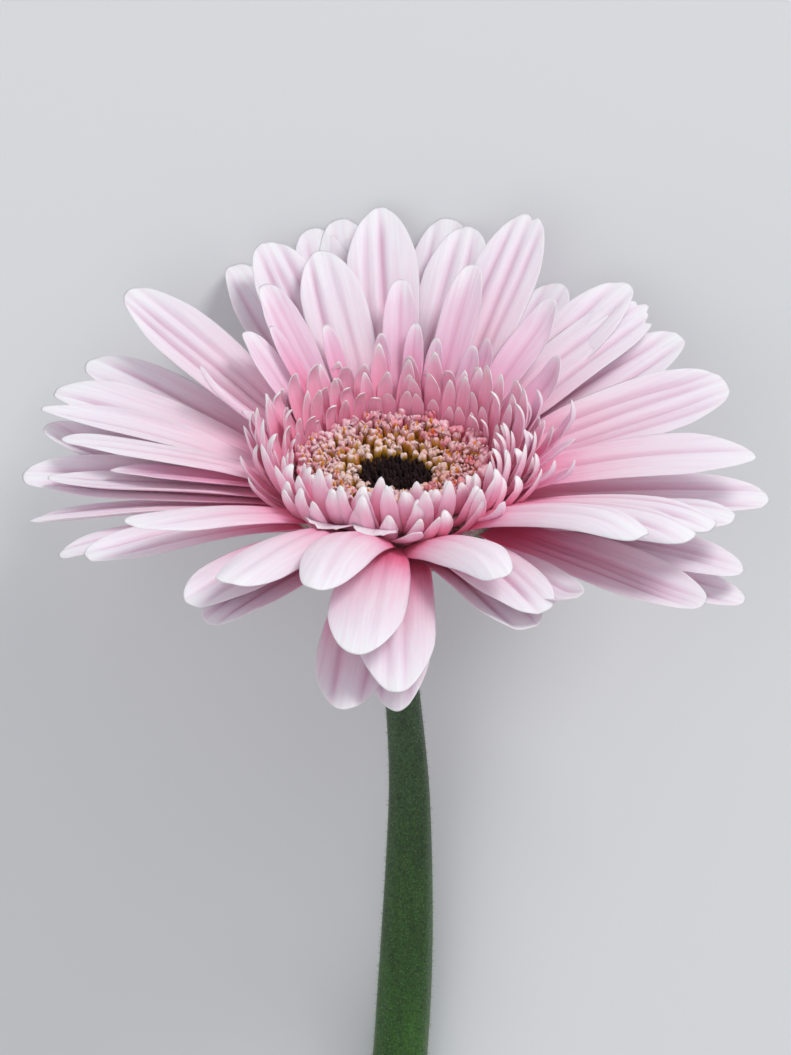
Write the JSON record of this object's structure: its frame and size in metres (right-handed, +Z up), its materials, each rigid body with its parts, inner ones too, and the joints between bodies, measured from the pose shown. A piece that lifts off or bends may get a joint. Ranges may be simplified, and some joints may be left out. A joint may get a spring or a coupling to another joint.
{
  "type": "cut gerbera daisy",
  "caption": "Pale pink semi-double cut gerbera daisy lying on its stem and back petals, with layered petals, a fringed inner ring, a golden disc and a dark eye.",
  "frame": {"origin": "bottom centre of the bounding box, on the surface that the flower lies on", "axes": "+Z up from that surface; +Y along the stem from the cut end to the head; +X to the right when the head points away from the viewer"},
  "size_m": [0.1088, 0.3038, 0.0893],
  "materials": {
    "petal_pink": "soft satin, near-white lilac at the tip to pink at the base, with fine lengthwise ribs",
    "inner_petal_pink": "soft satin, pale at the tip and deep pink at the base",
    "crown_pink": "satin pink with white tips",
    "disc_gold": "matte golden tubes with cream and pink lobes",
    "eye_maroon": "matte near-black maroon buds",
    "stem_green": "matte green under fine white hairs, with a paler cut end",
    "bract_green": "matte green, downy"
  },
  "bodies": {
    "root": {"stem": "stem_green", "bracts": "bract_green", "petal_01": "petal_pink", "petal_02": "petal_pink", "petal_03": "petal_pink", "petal_04": "petal_pink", "petal_05": "petal_pink", "petal_06": "petal_pink", "petal_07": "petal_pink", "petal_08": "petal_pink", "petal_09": "petal_pink", "petal_10": "petal_pink", "petal_11": "petal_pink", "petal_12": "petal_pink", "petal_13": "petal_pink", "petal_14": "petal_pink", "petal_15": "petal_pink", "petal_16": "petal_pink", "petal_17": "petal_pink", "petal_18": "petal_pink", "petal_19": "petal_pink", "petal_20": "petal_pink", "petal_21": "petal_pink", "petal_22": "petal_pink", "petal_23": "petal_pink", "petal_24": "petal_pink", "petal_25": "petal_pink", "petal_26": "petal_pink", "petal_27": "petal_pink", "petal_28": "petal_pink", "petal_29": "petal_pink", "petal_30": "petal_pink", "petal_31": "petal_pink", "petal_32": "petal_pink", "petal_33": "petal_pink", "petal_34": "petal_pink", "petal_35": "petal_pink", "petal_36": "petal_pink", "petal_37": "petal_pink", "petal_38": "petal_pink", "petal_39": "petal_pink", "petal_40": "petal_pink", "petal_41": "petal_pink", "petal_42": "petal_pink", "petal_43": "petal_pink", "petal_44": "petal_pink", "petal_45": "petal_pink", "petal_46": "petal_pink", "petal_47": "petal_pink", "inner_petal_01": "inner_petal_pink", "inner_petal_02": "inner_petal_pink", "inner_petal_03": "inner_petal_pink", "inner_petal_04": "inner_petal_pink", "inner_petal_05": "inner_petal_pink", "inner_petal_06": "inner_petal_pink", "inner_petal_07": "inner_petal_pink", "inner_petal_08": "inner_petal_pink", "crown_florets": "crown_pink", "disc_florets": "disc_gold", "eye_buds": "eye_maroon"}
  },
  "joints": []
}
